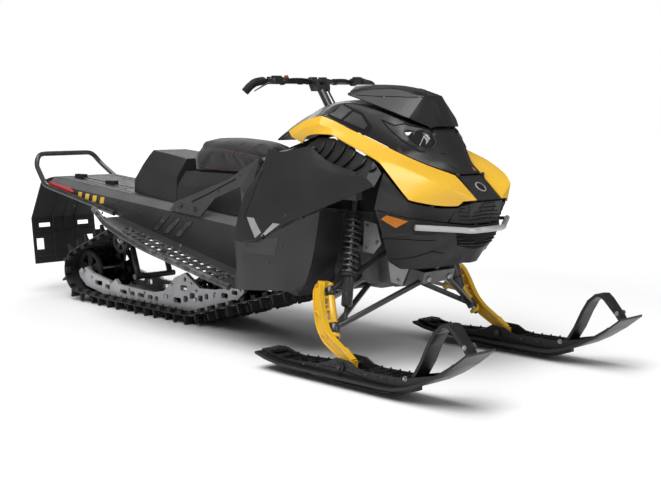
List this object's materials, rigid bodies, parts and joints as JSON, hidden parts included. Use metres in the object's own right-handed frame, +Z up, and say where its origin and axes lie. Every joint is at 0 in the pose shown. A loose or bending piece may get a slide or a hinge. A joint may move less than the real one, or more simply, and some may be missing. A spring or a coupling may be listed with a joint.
{
  "type": "snowmobile",
  "caption": "Long-track mountain snowmobile with two steered skis, a lugged drive track, a slim seat, angular side panels and a straight handlebar.",
  "frame": {"origin": "centre of the bounding box in plan, at ground level under the skis and track", "axes": "+X forward, +Y to the rider's left, +Z up"},
  "size_m": [3.267, 1.072, 1.134],
  "materials": {
    "tunnel": "black coated sheet",
    "board": "satin grey coated",
    "black_tube": "satin black",
    "flap": "matte",
    "lamp_red": "clear red lens",
    "black_plastic": "grained",
    "grey_plastic": "satin dark grey",
    "brace": "satin grey",
    "seat": "grippy vinyl",
    "yellow": "gloss yellow",
    "visor": "dark smoked",
    "lamp_clear": "clear lens",
    "silver_tube": "brushed",
    "alloy": "satin",
    "cast": "cast",
    "yellow_metal": "gloss yellow",
    "ski": "smooth black",
    "steel": "bare",
    "grip": "ribbed",
    "track_rubber": "matte"
  },
  "bodies": {
    "chassis": {"tunnel": "tunnel", "running_board_right": "board", "running_board_left": "board", "rear_bumper": "black_tube", "snow_flap": "flap", "tail_lights": "lamp_red", "cargo_anchors": "black_plastic", "seat_cushion": "seat", "seat_fairing": "grey_plastic", "side_brace_right": "brace", "side_brace_left": "brace", "side_panel_right": "black_plastic", "side_panel_left": "black_plastic", "lower_panel_right": "black_plastic", "lower_panel_left": "black_plastic", "hood": "grey_plastic", "side_trim_right": "yellow", "side_trim_left": "yellow", "side_vents": "black_plastic", "windshield": "visor", "headlights": "lamp_clear", "nose_cowl": "black_plastic", "front_grille": "black_plastic", "lower_nose": "grey_plastic", "front_bumper": "silver_tube", "front_frame": "alloy", "upper_frame": "black_tube", "engine": "cast", "front_arms": "black_tube", "front_shocks": "black_tube", "track": "track_rubber", "skid_rails": "alloy", "skid_wheels": "black_plastic", "skid_arms": "black_tube", "drive_axle": "steel"},
    "steering": {"steering_post": "black_tube", "handlebar": "black_tube", "handgrips": "grip", "bar_controls": "black_plastic"},
    "steer_right": {"spindle_right": "yellow_metal", "ski_right": "ski"},
    "steer_left": {"spindle_left": "yellow_metal", "ski_left": "ski"},
    "steering_link": {"tie_rods": "steel"}
  },
  "joints": [
    {"name": "handlebar_turn", "type": "hinge", "parent": "chassis", "child": "steering", "pos_m": [0.56, 0, 0.855], "axis": [-0.5711, 0, 0.8209], "range_deg": [-36, 36]},
    {"name": "ski_right_steer", "type": "hinge", "parent": "chassis", "child": "steer_right", "pos_m": [0.9, -0.405, 0.182], "axis": [-0.4362, 0.2684, 0.8589], "range_deg": [-29, 29]},
    {"name": "ski_left_steer", "type": "hinge", "parent": "chassis", "child": "steer_left", "pos_m": [0.9, 0.405, 0.182], "axis": [-0.4362, -0.2684, 0.8589], "range_deg": [-29, 29]},
    {"name": "tie_rod_slide", "type": "slide", "parent": "chassis", "child": "steering_link", "axis": [0, 1, 0], "range_m": [-0.036, 0.036]}
  ],
  "couplings": [
    {"joint": "ski_right_steer", "follows": "handlebar_turn", "ratio": 0.8},
    {"joint": "ski_left_steer", "follows": "handlebar_turn", "ratio": 0.8},
    {"joint": "tie_rod_slide", "follows": "handlebar_turn", "m_per_rad": -0.0533}
  ]
}
